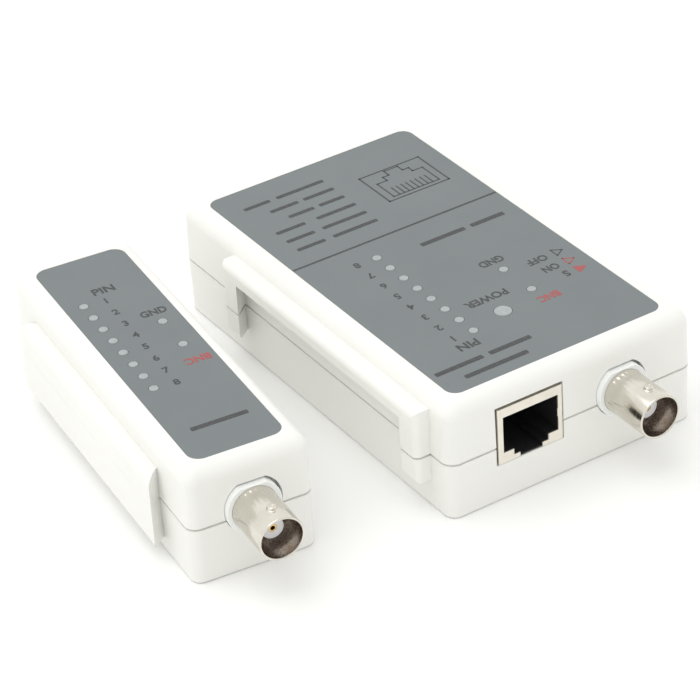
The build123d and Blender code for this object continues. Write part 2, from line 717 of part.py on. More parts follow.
def axial(x, y, length, radius, spacing):
    """Resistor or diode along X, with its wires bent down to the board."""
    height = BOARD_TOP + radius + 0.15
    half = spacing / 2
    route = [(x - half, y, BOARD_TOP), (x - half, y, height), (x + half, y, height), (x + half, y, BOARD_TOP)]
    body = along_x(y, height, radius, x - length / 2, x + length / 2)
    body = fillet(body.edges(), radius * 0.4)
    return body + wire(route, 0.28, [0.6, 0.6])


def capacitor(x, y, radius, height):
    can = upright(x, y, radius, BOARD_TOP, BOARD_TOP + height)
    return fillet(can.faces().sort_by(Axis.Z)[-1].edges(), 0.4)


# ---- Write the nodes ----

def write_jack(prefix, place):
    save(f"{prefix}_rj45_shield", place * jack_shield())
    save(f"{prefix}_rj45_housing", place * jack_housing())
    save(f"{prefix}_rj45_contacts", *[place * one for one in jack_contacts()])


def write_bnc(prefix, place):
    save(f"{prefix}_bnc_base", place * bnc_base())
    save(f"{prefix}_bnc_barrel", place * bnc_barrel())
    save(f"{prefix}_bnc_insulator", place * bnc_insulator())
    save(f"{prefix}_bnc_centre_contact", place * bnc_centre_contact())


def write_main_unit():
    upper, lower = main_shells()
    save("main_upper_shell", upper)
    save("main_lower_shell", lower)
    tips = [(x, y, LED_TIP_RADIUS + 0.08) for x, y, _ in main_lamps()[:-1]]
    tips.append((*MAIN_POWER_LED, POWER_LED_TIP_RADIUS + 0.08))
    save("main_label", label(MAIN_LABEL, MAIN_LABEL_CORNER, tips))
    save("main_case_screws", *case_screws(MAIN_CASE_SCREWS))
    save("main_board_screws", *board_screws(MAIN_BOARD_SCREWS))
    save("main_circuit_board", board((-MAIN_BOARD_X, MAIN_BOARD_X), MAIN_BOARD_Y,
                                     MAIN_CASE_SCREWS, MAIN_BOARD_SCREWS))
    write_jack("main", Location((MAIN_JACK_X, MAIN_FACE, 0)))
    write_bnc("main", Location((MAIN_BNC_X, MAIN_FACE, 0)))
    column = led_column(MAIN_LED_X, MAIN_LED_MIDDLE_Y)
    save("main_pin_leds", *[led(x, y, LED_RADIUS, LED_TIP_RADIUS) for x, y in column])
    save("main_gnd_led", led(*MAIN_GND_LED, LED_RADIUS, LED_TIP_RADIUS))
    save("main_bnc_led", led(*MAIN_BNC_LED, LED_RADIUS, LED_TIP_RADIUS))
    save("main_power_led", led(*MAIN_POWER_LED, POWER_LED_RADIUS, POWER_LED_TIP_RADIUS))
    save("power_switch_frame", switch_frame())
    save("power_switch_knob", switch_knob())
    save("battery_9v", battery())
    save("battery_terminals", *battery_terminals())
    save("battery_snap_clip", snap_clip())
    red, black = battery_leads()
    save("battery_lead_red", red)
    save("battery_lead_black", black)
    save("battery_door", battery_door())
    save("main_counter_chip", chip_body(3.0, -8.0, 16))
    save("main_timer_chip", chip_body(-19.5, -6.0, 8))
    save("main_chip_legs", *chip_legs(3.0, -8.0, 16), *chip_legs(-19.5, -6.0, 8))
    save("main_resistors", *[axial(-19.0, -30.0 + 2.9 * i, 6.2, 1.15, 10.2) for i in range(6)])
    save("main_capacitors", capacitor(15.5, -3.0, 3.1, 7.0), capacitor(-17.0, 5.0, 2.5, 7.0))


def write_remote_unit():
    size = (REMOTE_WIDTH, REMOTE_LENGTH, REMOTE_CORNER)
    upper, lower = case_forms(*size)
    pad = docking_pad()
    upper += pad & left_side(PARTING, CASE_HEIGHT)
    lower += pad & left_side(0, PARTING)
    groove = parting_groove(RectangleRounded(*size)) - pad
    space = cavity(*size)
    far_place = Location((0, REMOTE_LENGTH / 2, 0), (0, 0, 180))
    near_place = Location((0, REMOTE_FACE, 0))
    openings = far_place * jack_opening() + near_place * bnc_opening()
    column = led_column(REMOTE_LED_X, REMOTE_LED_MIDDLE_Y)
    places = column + [REMOTE_GND_LED, REMOTE_BNC_LED]

    pillars, holes = upper_bosses(REMOTE_CASE_SCREWS)
    upper = upper - space + pillars
    upper -= lip(*size, LIP_GAP, 0.1)
    upper -= holes
    upper -= openings
    upper -= label_recess(REMOTE_LABEL, REMOTE_LABEL_CORNER)
    upper -= lamp_holes([(x, y, LED_RADIUS) for x, y in places])

    pillars, holes = lower_bosses(REMOTE_CASE_SCREWS, REMOTE_BOARD_SCREWS)
    lower = lower - space + pillars
    lower += lip(*size, 0, 0)
    lower -= holes
    lower -= openings
    lower -= groove

    here = REMOTE_PLACE
    save("remote_upper_shell", here * upper)
    save("remote_lower_shell", here * lower)
    tips = [(x, y, LED_TIP_RADIUS + 0.08) for x, y in places]
    save("remote_label", here * label(REMOTE_LABEL, REMOTE_LABEL_CORNER, tips))
    save("remote_case_screws", *[here * one for one in case_screws(REMOTE_CASE_SCREWS)])
    save("remote_board_screws", *[here * one for one in board_screws(REMOTE_BOARD_SCREWS)])
    save("remote_circuit_board", here * board((-REMOTE_BOARD_X, REMOTE_BOARD_X),
                                              (-REMOTE_BOARD_Y, REMOTE_BOARD_Y),
                                              REMOTE_CASE_SCREWS, REMOTE_BOARD_SCREWS))
    write_jack("remote", here * far_place)
    write_bnc("remote", here * near_place)
    save("remote_pin_leds", *[here * led(x, y, LED_RADIUS, LED_TIP_RADIUS) for x, y in column])
    save("remote_gnd_led", here * led(*REMOTE_GND_LED, LED_RADIUS, LED_TIP_RADIUS))
    save("remote_bnc_led", here * led(*REMOTE_BNC_LED, LED_RADIUS, LED_TIP_RADIUS))
    save("remote_diodes", *[here * axial(2.6, -16.0 + 3.0 * i, 4.2, 0.95, 7.6) for i in range(4)])
    save("remote_resistors", *[here * axial(0.6, 12.6 + 3.2 * i, 5.2, 1.1, 8.2) for i in range(2)])


os.makedirs("parts", exist_ok=True)
write_main_unit()
write_remote_unit()
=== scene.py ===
import bmesh
import bpy
import json
import math
from mathutils import Matrix, Vector


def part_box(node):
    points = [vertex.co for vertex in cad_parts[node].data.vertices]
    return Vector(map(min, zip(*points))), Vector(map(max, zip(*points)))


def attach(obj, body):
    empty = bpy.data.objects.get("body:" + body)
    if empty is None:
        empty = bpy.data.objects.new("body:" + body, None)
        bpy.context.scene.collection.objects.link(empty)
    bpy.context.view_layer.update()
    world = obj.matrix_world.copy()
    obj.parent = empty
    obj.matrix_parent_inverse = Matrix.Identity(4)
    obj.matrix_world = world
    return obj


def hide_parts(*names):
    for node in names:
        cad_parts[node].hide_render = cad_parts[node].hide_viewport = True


# Network cable tester: the looks of the main unit and the remote unit on a pale studio floor.

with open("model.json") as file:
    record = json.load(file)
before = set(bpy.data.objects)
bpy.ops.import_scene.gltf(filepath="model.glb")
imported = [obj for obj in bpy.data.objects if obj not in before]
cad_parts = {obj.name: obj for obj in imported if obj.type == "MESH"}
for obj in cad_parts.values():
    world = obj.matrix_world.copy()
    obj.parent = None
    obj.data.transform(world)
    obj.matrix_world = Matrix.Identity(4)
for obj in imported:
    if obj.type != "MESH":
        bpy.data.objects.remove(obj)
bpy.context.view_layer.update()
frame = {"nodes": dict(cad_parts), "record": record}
nodes = frame["nodes"]
record = frame["record"]

MM = 0.001


# ---------------------------------------------------------------- camera, light and floor

CAMERA_TARGET = Vector((-12.27, 13.85, 0.0)) * MM
CAMERA_AZIMUTH = math.radians(-31.06)
CAMERA_ELEVATION = math.radians(33.27)
CAMERA_ROLL = math.radians(-3.83)
CAMERA_DISTANCE = 713.3 * MM
CAMERA_LENS = 169.0          # mm
SENSOR_WIDTH = 36.0          # mm
SKY_COLOUR = (1.0, 1.0, 0.985, 1)
SKY_DARK_SIDE = Vector((0.05, -0.98, 0.2)).normalized()
SKY_STRENGTH = {"From Min": 0.35, "From Max": 0.95, "To Min": 1.07, "To Max": 0.88}
KEY_PLACE = (-0.35, 0.12, 1.05)
KEY_AIM = (-0.02, 0, 0)
KEY_SIZE = 0.9
KEY_POWER = 3.3
KEY_COLOUR = (1.0, 1.0, 0.99)
FLOOR_RADIUS = 6.0
FLOOR_GAP = 0.1 * MM         # the thin dark line where the boxes stand


def make_camera():
    """A long lens that looks down on the connector ends from the left."""
    level = Vector((math.cos(CAMERA_AZIMUTH), math.sin(CAMERA_AZIMUTH), 0))
    back = Vector((math.sin(CAMERA_AZIMUTH) * math.cos(CAMERA_ELEVATION),
                   -math.cos(CAMERA_AZIMUTH) * math.cos(CAMERA_ELEVATION),
                   math.sin(CAMERA_ELEVATION)))
    upright = back.cross(level)
    right = math.cos(CAMERA_ROLL) * level + math.sin(CAMERA_ROLL) * upright
    up = back.cross(right)
    turn = Matrix((right, up, back)).transposed().to_4x4()
    data = bpy.data.cameras.new("studio_camera")
    data.sensor_width = SENSOR_WIDTH
    data.lens = CAMERA_LENS
    data.clip_start = 0.01
    data.clip_end = 50.0
    camera = bpy.data.objects.new("studio_camera", data)
    camera.matrix_world = Matrix.Translation(CAMERA_TARGET + CAMERA_DISTANCE * back) @ turn
    bpy.context.collection.objects.link(camera)
    bpy.context.scene.camera = camera


def area_light(name, place, aim, size, power, colour):
    """A square soft box at place that faces aim."""
    data = bpy.data.lights.new(name, "AREA")
    data.shape = "SQUARE"
    data.size = size
    data.energy = power
    data.color = colour
    light = bpy.data.objects.new(name, data)
    direction = Vector(aim) - Vector(place)
    light.matrix_world = (Matrix.Translation(Vector(place))
                          @ direction.to_track_quat("-Z", "Y").to_matrix().to_4x4())
    bpy.context.collection.objects.link(light)


def make_world():
    """White studio walls that darken towards the side where the camera stands."""
    world = bpy.data.worlds.new("studio")
    world.use_nodes = True
    tree = world.node_tree
    background = tree.nodes["Background"]
    place = tree.nodes.new("ShaderNodeTexCoord")
    lean = tree.nodes.new("ShaderNodeVectorMath")
    lean.operation = "DOT_PRODUCT"
    lean.inputs[1].default_value = SKY_DARK_SIDE
    tree.links.new(place.outputs["Generated"], lean.inputs[0])
    shade = tree.nodes.new("ShaderNodeMapRange")
    shade.interpolation_type = "SMOOTHSTEP"
    for socket, value in SKY_STRENGTH.items():
        shade.inputs[socket].default_value = value
    tree.links.new(lean.outputs["Value"], shade.inputs["Value"])
    tree.links.new(shade.outputs["Result"], background.inputs["Strength"])
    background.inputs["Color"].default_value = SKY_COLOUR
    bpy.context.scene.world = world


def make_stage():
    make_world()
    area_light("key_light", KEY_PLACE, KEY_AIM, KEY_SIZE, KEY_POWER, KEY_COLOUR)
    scene = bpy.context.scene
    scene.view_settings.view_transform = "Standard"
    scene.view_settings.look = "None"
    mesh = bpy.data.meshes.new("floor")
    bm = bmesh.new()
    bmesh.ops.create_circle(bm, cap_ends=True, segments=96, radius=FLOOR_RADIUS)
    bm.to_mesh(mesh)
    bm.free()
    floor = bpy.data.objects.new("floor", mesh)
    floor.location.z = -FLOOR_GAP
    bpy.context.collection.objects.link(floor)
    mesh.materials.append(floor_paper())


# ---------------------------------------------------------------- material building

class Shader:
    """One material with a Principled surface, and short calls that add nodes to it."""

    def __init__(self, name, colour=(0.8, 0.8, 0.8), roughness=0.5, **constants):
        self.material = bpy.data.materials.new(name)
        self.material.use_nodes = True
        self.tree = self.material.node_tree
        self.surface = self.tree.nodes["Principled BSDF"]
        self.set("Base Color", (*colour, 1))
        self.set("Roughness", roughness)
        for socket, value in constants.items():
            self.set(socket.replace("_", " "), value)
        self.place = self.add("TexCoord").outputs["Object"]

    def set(self, socket, value):
        self.feed(self.surface.inputs[socket], value)

    def feed(self, socket, value):
        if isinstance(value, bpy.types.NodeSocket):
            self.tree.links.new(value, socket)
        else:
            socket.default_value = value

    def add(self, kind, settings=(), **inputs):
        node = self.tree.nodes.new("ShaderNode" + kind)
        for name, value in dict(settings).items():
            setattr(node, name, value)
        for name, value in inputs.items():
            self.feed(node.inputs[name.replace("_", " ")], value)
        return node

    def noise(self, size, detail=2.0, roughness=0.5, stretch=(1, 1, 1)):
        """Noise whose blobs are about size across, in metres; stretch lengthens them on an axis."""
        scale = [1 / s for s in stretch]
        spread = self.add("Mapping", Vector=self.place, Scale=scale)
        texture = self.add("TexNoise", Vector=spread.outputs["Vector"], Scale=1 / size,
                           Detail=detail, Roughness=roughness)
        return texture.outputs["Fac"]

    def span(self, value, low, high, out_low=0.0, out_high=1.0):
        """value from low..high to out_low..out_high, held at the ends."""
        return self.add("MapRange", Value=value, From_Min=low, From_Max=high,
                        To_Min=out_low, To_Max=out_high).outputs["Result"]

    def sum(self, a, b, operation="ADD"):
        node = self.add("Math", {"operation": operation})
        self.feed(node.inputs[0], a)
        self.feed(node.inputs[1], b)
        return node.outputs["Value"]

    def mix(self, amount, first, second):
        """A colour between first and second."""
        node = self.add("MixRGB", Fac=amount)
        for socket, colour in (("Color1", first), ("Color2", second)):
            self.feed(node.inputs[socket], colour if isinstance(colour, bpy.types.NodeSocket) else (*colour, 1))
        return node.outputs["Color"]

    def soften(self, radius):
        """Shading that rounds sharp edges by radius."""
        return self.add("Bevel", {"samples": 4}, Radius=radius).outputs["Normal"]

    def bump(self, height, depth, strength=1.0, base=None):
        """Surface relief: depth is how far the surface moves for heights 0 to 1, in metres."""
        node = self.add("Bump", Height=height, Distance=depth, Strength=strength)
        if base is not None:
            self.feed(node.inputs["Normal"], base)
        self.set("Normal", node.outputs["Normal"])


def floor_paper():
    s = Shader("floor_paper", (0.92, 0.92, 0.915), 0.8)
    s.set("Base Color", s.mix(s.noise(0.2), (0.925, 0.925, 0.92), (0.915, 0.915, 0.91)))
    s.bump(s.noise(0.0006), 0.00002)
    return s.material


# ---------------------------------------------------------------- plastics

def case_plastic():
    """Warm white ABS with the fine spark texture of its mould."""
    s = Shader("case_plastic", roughness=0.42, Specular_IOR_Level=0.45)
    cloud = s.noise(0.03, detail=3.0)
    grain = s.noise(0.00022, detail=2.0, roughness=0.6)
    tint = s.mix(s.span(cloud, 0.3, 0.7), (0.825, 0.822, 0.79), (0.85, 0.847, 0.815))
    speck = s.span(s.noise(0.0009, detail=1.0), 0.70, 0.76)
    s.set("Base Color", s.mix(s.sum(speck, 0.12, "MULTIPLY"), tint, (0.72, 0.71, 0.66)))
    s.set("Roughness", s.span(grain, 0.3, 0.7, 0.37, 0.50))
    s.bump(grain, 0.000012, 0.6, base=s.soften(0.00018))
    return s.material


def white_plastic():
    """Cool white moulded base of the coaxial socket."""
    s = Shader("white_plastic", roughness=0.35)
    cloud = s.noise(0.006)
    s.set("Base Color", s.mix(cloud, (0.86, 0.88, 0.865), (0.9, 0.91, 0.895)))
    s.set("Roughness", s.span(s.noise(0.0005), 0.3, 0.7, 0.28, 0.42))
    s.bump(s.noise(0.0004), 0.000006, 0.5, base=s.soften(0.00012))
    return s.material


def dark_plastic(name, colour, roughness):
    s = Shader(name, roughness=roughness)
    lighter = [1.35 * c + 0.004 for c in colour]
    s.set("Base Color", s.mix(s.noise(0.004, detail=3.0), colour, lighter))
    grain = s.noise(0.00025)
    s.set("Roughness", s.span(grain, 0.3, 0.7, roughness - 0.06, roughness + 0.08))
    s.bump(grain, 0.00001, 0.6, base=s.soften(0.0001))
    return s.material


def pale_dielectric():
    """Slightly waxy white core of the coaxial socket."""
    s = Shader("dielectric", roughness=0.32)
    s.set("Base Color", s.mix(s.noise(0.002, detail=3.0), (0.84, 0.86, 0.87), (0.92, 0.93, 0.93)))
    s.set("Roughness", s.span(s.noise(0.0003), 0.3, 0.7, 0.26, 0.4))
    s.bump(s.noise(0.0004), 0.000005, base=s.soften(0.00015))
    return s.material


def insulation(name, colour):
    """Soft PVC on a hook-up wire, with fine draw lines."""
    s = Shader(name, roughness=0.38)
    darker = [0.75 * c for c in colour]
    s.set("Base Color", s.mix(s.noise(0.002, detail=3.0), darker, colour))
    s.bump(s.noise(0.0002, stretch=(1, 8, 1)), 0.000008)
    return s.material


# ---------------------------------------------------------------- label, inks and lamps

def label_sheet():
    """Grey satin polyester sheet, slightly mottled."""
    s = Shader("label_print", roughness=0.46, Specular_IOR_Level=0.42)
    cloud = s.noise(0.018, detail=4.0, roughness=0.6)
    grain = s.noise(0.00035, detail=2.0)
    tint = s.mix(s.span(cloud, 0.3, 0.7), (0.155, 0.176, 0.182), (0.168, 0.189, 0.195))
    s.set("Base Color", s.mix(s.span(grain, 0.35, 0.65, 0.0, 0.2), tint, (0.20, 0.22, 0.23)))
    s.set("Roughness", s.span(grain, 0.3, 0.7, 0.40, 0.52))
    s.bump(grain, 0.000006, 0.6)
    return s.material


def ink(name, colour):
    """Screen-printed ink, a little uneven."""
    s = Shader(name, roughness=0.5)
    thin = [0.8 * c + 0.045 for c in colour]
    s.set("Base Color", s.mix(s.span(s.noise(0.0005, detail=3.0), 0.35, 0.75), colour, thin))
    s.set("Roughness", s.span(s.noise(0.0003), 0.3, 0.7, 0.42, 0.58))
    return s.material


def lamp_lens():
    """Frosted lamp, unlit and slightly cloudy."""
    s = Shader("led_lens", roughness=0.3)
    s.set("Base Color", s.mix(s.noise(0.0012, detail=3.0), (0.30, 0.325, 0.335), (0.40, 0.425, 0.43)))
    s.set("Roughness", s.span(s.noise(0.0003), 0.3, 0.7, 0.22, 0.4))
    return s.material


# ---------------------------------------------------------------- metals

def bare_metal(name, colour, shade, roughness, stretch=(1, 1, 1), size=0.0004, scratch=0.0000015):
    """Metal with fine machining lines along the stretched axis and faint stains."""
    s = Shader(name, roughness=roughness, Metallic=1.0)
    lines = s.noise(size, detail=3.0, roughness=0.6, stretch=stretch)
    stain = s.noise(0.004, detail=4.0, roughness=0.6)
    s.set("Base Color", s.mix(s.span(stain, 0.3, 0.7), shade, colour))
    s.set("Roughness", s.span(lines, 0.25, 0.75, roughness - 0.05, roughness + 0.07))
    s.bump(lines, scratch, 0.7, base=s.soften(0.00008))
    return s.material


# ---------------------------------------------------------------- board and its parts

def solder_mask():
    """Green lacquer over copper tracks, with the tracks standing a little proud."""
    s = Shader("board", roughness=0.3)
    tracks = s.add("TexBrick", {"offset": 0.37, "squash": 0.6}, Vector=s.place, Scale=1.0,
                   Mortar_Size=0.00028, Brick_Width=0.0062, Row_Height=0.0019)
    copper = s.span(tracks.outputs["Fac"], 0.4, 0.6)
    tint = s.mix(s.noise(0.01), (0.012, 0.095, 0.035), (0.018, 0.12, 0.045))
    s.set("Base Color", s.mix(copper, tint, (0.035, 0.22, 0.07)))
    s.set("Roughness", s.span(s.noise(0.0008), 0.3, 0.7, 0.24, 0.36))
    s.bump(copper, 0.00003)
    return s.material


BATTERY_BODY_SHARE = 0.68    # of the battery's length, from its low end


def battery_jacket():
    """Printed steel jacket: a plain slate body with a pale grey end."""
    s = Shader("battery_jacket", roughness=0.3, Metallic=0.55)
    low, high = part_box("battery_9v")
    along = s.add("SeparateXYZ", Vector=s.place).outputs["X"]
    split = low.x + BATTERY_BODY_SHARE * (high.x - low.x)
    pale = s.span(along, split - 0.0001, split + 0.0001)
    stain = s.noise(0.003, detail=3.0)
    body = s.mix(stain, (0.075, 0.105, 0.13), (0.09, 0.125, 0.15))
    end = s.mix(stain, (0.50, 0.51, 0.52), (0.58, 0.59, 0.60))
    s.set("Base Color", s.mix(pale, body, end))
    s.set("Roughness", s.span(s.noise(0.0006), 0.3, 0.7, 0.24, 0.38))
    s.bump(s.noise(0.0012), 0.00001)
    return s.material


def banded_body(name, base, bands, pitch):
    """Painted component body with colour bands across X, every pitch metres."""
    s = Shader(name, roughness=0.35)
    along = s.add("SeparateXYZ", Vector=s.place).outputs["X"]
    cycle = s.sum(s.sum(along, 1 / pitch, "MULTIPLY"), 1.0, "FLOORED_MODULO")
    band = s.span(cycle, 0.62, 0.64)
    s.set("Base Color", s.mix(band, base, bands))
    s.bump(s.noise(0.0005), 0.00001)
    return s.material


def slot_finishes():
    """Every slot of the record with its finish."""
    return {
        "case_plastic": case_plastic(),
        "knob_plastic": dark_plastic("knob_plastic", (0.022, 0.022, 0.024), 0.45),
        "white_plastic": white_plastic(),
        "black_plastic": dark_plastic("black_plastic", (0.011, 0.011, 0.012), 0.42),
        "chip_body": dark_plastic("chip_body", (0.018, 0.018, 0.019), 0.55),
        "dielectric": pale_dielectric(),
        "red_insulation": insulation("red_insulation", (0.5, 0.015, 0.012)),
        "black_insulation": insulation("black_insulation", (0.02, 0.02, 0.02)),
        "label_print": label_sheet(),
        "led_lens": lamp_lens(),
        "board": solder_mask(),
        "nickel": bare_metal("nickel", (0.74, 0.71, 0.64), (0.66, 0.63, 0.56), 0.17,
                             stretch=(6, 1, 6)),
        "tin_sheet": bare_metal("tin_sheet", (0.84, 0.80, 0.72), (0.77, 0.73, 0.65), 0.34,
                                stretch=(14, 14, 1)),
        "gold": bare_metal("gold", (0.83, 0.60, 0.27), (0.72, 0.50, 0.2), 0.22),
        "screw_steel": bare_metal("screw_steel", (0.60, 0.60, 0.58), (0.48, 0.48, 0.47), 0.3),
        "lead_wire": bare_metal("lead_wire", (0.72, 0.72, 0.70), (0.6, 0.6, 0.58), 0.3),
        "capacitor_can": bare_metal("capacitor_can", (0.10, 0.12, 0.2), (0.05, 0.06, 0.12), 0.35),
        "battery_jacket": battery_jacket(),
        "resistor_body": banded_body("resistor_body", (0.55, 0.38, 0.2), (0.3, 0.06, 0.02), 0.0011),
        "diode_body": banded_body("diode_body", (0.35, 0.08, 0.02), (0.02, 0.02, 0.02), 0.0021),
    }


def dress_nodes(finishes):
    """Give each CAD node the finish of the slot that it was packed with."""
    for node in nodes.values():
        for place in node.material_slots:
            place.material = finishes[place.material.name.split(".")[0]]


# ---------------------------------------------------------------- mesh building

def add_piece(name, bm, finish, body, sharp=35.0):
    """One mesh object that rides on a body, smooth except at edges sharper than the angle."""
    bmesh.ops.recalc_face_normals(bm, faces=bm.faces)
    mesh = bpy.data.meshes.new(name)
    bm.to_mesh(mesh)
    bm.free()
    mesh.materials.append(finish)
    mesh.shade_smooth()
    mesh.set_sharp_from_angle(angle=math.radians(sharp))
    piece = bpy.data.objects.new(name, mesh)
    bpy.context.collection.objects.link(piece)
    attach(piece, body)
    return piece


def prism(bm, outline, low, high, place):
    """A flat closed plate from a plan outline; place takes it to the object's frame."""
    bottom = [bm.verts.new(place @ Vector((x, y, low))) for x, y in outline]
    top = [bm.verts.new(place @ Vector((x, y, high))) for x, y in outline]
    bm.faces.new(list(reversed(bottom)))
    bm.faces.new(top)
    count = len(outline)
    for i in range(count):
        j = (i + 1) % count
        bm.faces.new((bottom[i], bottom[j], top[j], top[i]))


def revolve(bm, profile, place, segments=96):
    """Turn (along, radius) points round the local Z axis; a radius of 0 closes that end."""
    rings = []
    for along, radius in profile:
        if radius == 0:
            rings.append([bm.verts.new(place @ Vector((0, 0, along)))])
            continue
        turn = [2 * math.pi * i / segments for i in range(segments)]
        rings.append([bm.verts.new(place @ Vector((radius * math.cos(a), radius * math.sin(a), along)))
                      for a in turn])
    for first, second in zip(rings, rings[1:]):
        for i in range(segments):
            j = (i + 1) % segments
            if len(first) == 1:
                bm.faces.new((first[0], second[j], second[i]))
            elif len(second) == 1:
                bm.faces.new((first[i], first[j], second[0]))
            else:
                bm.faces.new((first[i], first[j], second[j], second[i]))
    return rings


def arc(centre_along, centre_radius, radius, start, end, steps=6):
    """Points of a round stretch of a profile, angles in degrees from +along towards +radius."""
    points = []
    for i in range(steps + 1):
        angle = math.radians(start + (end - start) * i / steps)
        points.append((centre_along + radius * math.cos(angle), centre_radius + radius * math.sin(angle)))
    return points


def find_mount(name):
    return next(mount for mount in record["mounts"] if mount["name"] == name)


def mount_place(name, ahead=0.0):
    """Matrix with +Z out of a mount's mouth, +Y up, and its origin ahead of the mount's point."""
    mount = find_mount(name)
    out = Vector(mount["axis"]).normalized()
    up = Vector((0, 0, 1))
    side = up.cross(out)
    turn = Matrix((side, up, out)).transposed().to_4x4()
    return Matrix.Translation(Vector(mount["pos_m"]) + ahead * out) @ turn


# ---------------------------------------------------------------- coaxial sockets

RIM_AHEAD = 2.0 * MM         # from the mount's point, inside the mouth, to the rim
BARREL_RADIUS = 4.9 * MM
BARREL_MOUTH = 4.4 * MM
THROAT_RADIUS = 4.2 * MM
BARREL_BORE = 3.3 * MM
MOUTH_DEPTH = 4.3 * MM       # depths from the rim
THROAT_DEPTH = 9.0 * MM
BARREL_LENGTH = 26.6 * MM
KNURL_DEPTHS = (9.2 * MM, 11.4 * MM)
KNURL_RIDGES = 28
KNURL_CUT = 0.13 * MM
LUG_DEPTH = 3.9 * MM
LUG_RADIUS = 0.95 * MM
LUG_TOP = 5.6 * MM           # from the barrel's axis
# gap between the barrel's bore and its dark lining of painted shade
SHADE_LINING_GAP = 0.03 * MM
NOSE_CLEARANCE = 2.4 * MM


def knurled_band(bm, place, segments):
    """Rings round a band of short ridges along the barrel, in order from the rim's side."""
    start, end = KNURL_DEPTHS
    fade = 0.2 * MM
    steps = ((start - fade, 0), (start, 0.25), (start + fade, 1), (end - fade, 1), (end, 0.25), (end + fade, 0))
    rings = []
    for depth, share in steps:
        ring = []
        for i in range(segments):
            angle = 2 * math.pi * i / segments
            cut = KNURL_CUT * share * (0.5 + 0.5 * math.cos(KNURL_RIDGES * angle))
            radius = BARREL_RADIUS - cut
            point = (radius * math.cos(angle), radius * math.sin(angle), -depth)
            ring.append(bm.verts.new(place @ Vector(point)))
        rings.append(ring)
    return rings


def join_rings(bm, first, second):
    count = len(first)
    for i in range(count):
        j = (i + 1) % count
        bm.faces.new((first[i], first[j], second[j], second[i]))


def dimpled_lug(bm, place):
    """Bayonet lug along +Z with a flared foot and a dimple in its top."""
    foot = BARREL_RADIUS - 0.3 * MM
    profile = [(LUG_TOP - 0.2 * MM, 0), (LUG_TOP - 0.18 * MM, 0.36 * MM), (LUG_TOP, 0.5 * MM),
               (LUG_TOP, 0.74 * MM), (LUG_TOP - 0.07 * MM, 0.88 * MM), (LUG_TOP - 0.2 * MM, LUG_RADIUS),
               (BARREL_RADIUS + 0.12 * MM, LUG_RADIUS), (BARREL_RADIUS - 0.02 * MM, 1.12 * MM),
               (foot, 1.12 * MM), (foot, 0)]
    revolve(bm, profile, place, 48)


def bnc_barrel(name, mount, body, node, finish):
    """Bayonet barrel: thin rounded rim, stepped bore, knurled band and two dimpled lugs."""
    place = mount_place(mount, RIM_AHEAD)
    bm = bmesh.new()
    segments = 6 * KNURL_RIDGES
    lip = (BARREL_RADIUS - BARREL_MOUTH) / 2
    bore = [(-BARREL_LENGTH, BARREL_BORE), (-THROAT_DEPTH, BARREL_BORE), (-THROAT_DEPTH, THROAT_RADIUS),
            (-MOUTH_DEPTH, THROAT_RADIUS), (-MOUTH_DEPTH + 0.2 * MM, BARREL_MOUTH)]
    front = arc(-lip, BARREL_MOUTH + lip, lip, -90, 90, 10)
    inner = revolve(bm, bore + front, place, segments)
    knurl = knurled_band(bm, place, segments)
    tail = revolve(bm, [(-BARREL_LENGTH + 0.2 * MM, BARREL_RADIUS),
                        (-BARREL_LENGTH, BARREL_RADIUS - 0.2 * MM)], place, segments)
    outside = [inner[-1]] + knurl + tail + [inner[0]]
    for first, second in zip(outside, outside[1:]):
        if second is not tail[1]:
            join_rings(bm, first, second)
    for side in (0, math.pi):
        turn = Matrix.Rotation(side, 4, "Z") @ Matrix.Rotation(-math.pi / 2, 4, "X")
        dimpled_lug(bm, place @ Matrix.Translation((0, 0, -LUG_DEPTH)) @ turn)
    piece = add_piece(name, bm, finish, body, sharp=30.0)
    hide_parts(node)


def bnc_shade_lining(name, mount, body, finish):
    """Thin dark film on the inside of the barrel: painted shade that darkens the bore."""
    place = mount_place(mount, RIM_AHEAD)
    bm = bmesh.new()
    deepest = -THROAT_DEPTH + SHADE_LINING_GAP
    film = [(-0.4 * MM, BARREL_MOUTH - SHADE_LINING_GAP), (-1.6 * MM, THROAT_RADIUS - SHADE_LINING_GAP),
            (deepest, THROAT_RADIUS - SHADE_LINING_GAP), (deepest, NOSE_CLEARANCE)]
    revolve(bm, film, place)
    add_piece(name, bm, finish, body)


# ---------------------------------------------------------------- printing on the labels

INK_THICKNESS = 0.03 * MM
LETTER_WEIGHT = 0.026        # how far the outline of a letter grows, for a font size of 1
DARK_INK = (0.035, 0.037, 0.04)
RED_INK = (0.38, 0.06, 0.058)


def rounded_outline(x0, x1, y0, y1, radius, steps=4):
    """Corner points of a rounded rectangle, anticlockwise."""
    points = []
    corners = ((x1 - radius, y0 + radius, -90), (x1 - radius, y1 - radius, 0),
               (x0 + radius, y1 - radius, 90), (x0 + radius, y0 + radius, 180))
    for x, y, start in corners:
        for i in range(steps + 1):
            angle = math.radians(start + 90 * i / steps)
            points.append((x + radius * math.cos(angle), y + radius * math.sin(angle)))
    return points


